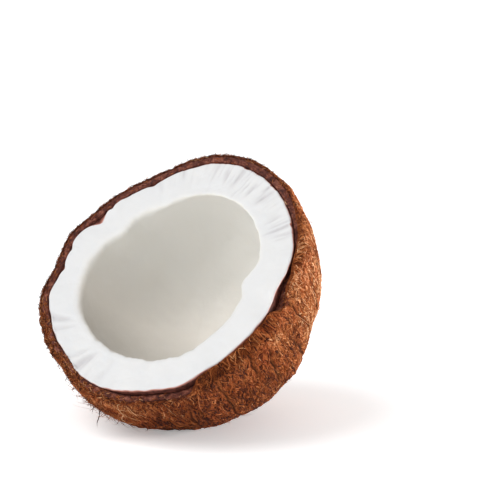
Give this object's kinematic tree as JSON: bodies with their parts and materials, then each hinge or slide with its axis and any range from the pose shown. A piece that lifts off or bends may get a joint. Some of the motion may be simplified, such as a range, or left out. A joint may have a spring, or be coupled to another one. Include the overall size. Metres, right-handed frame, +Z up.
{
  "type": "halved coconut",
  "caption": "Half of a husked brown coconut, cut across and tipped forward: thick white flesh round an open hollow, a dark hard shell and a coat of matted brown fibre.",
  "frame": {"origin": "on the floor, in the flat spot of matted fibre that the half rests on, below its weight", "axes": "+Z up; the cut face looks up and towards -Y at 45 degrees; +X to the right of someone facing the cut"},
  "size_m": [0.1173, 0.097, 0.0959],
  "materials": {
    "flesh": "satin",
    "shell": "matte",
    "fibre": "matte"
  },
  "bodies": {
    "root": {"flesh": "flesh", "shell": "shell", "fibre_coat": "fibre"}
  },
  "joints": []
}
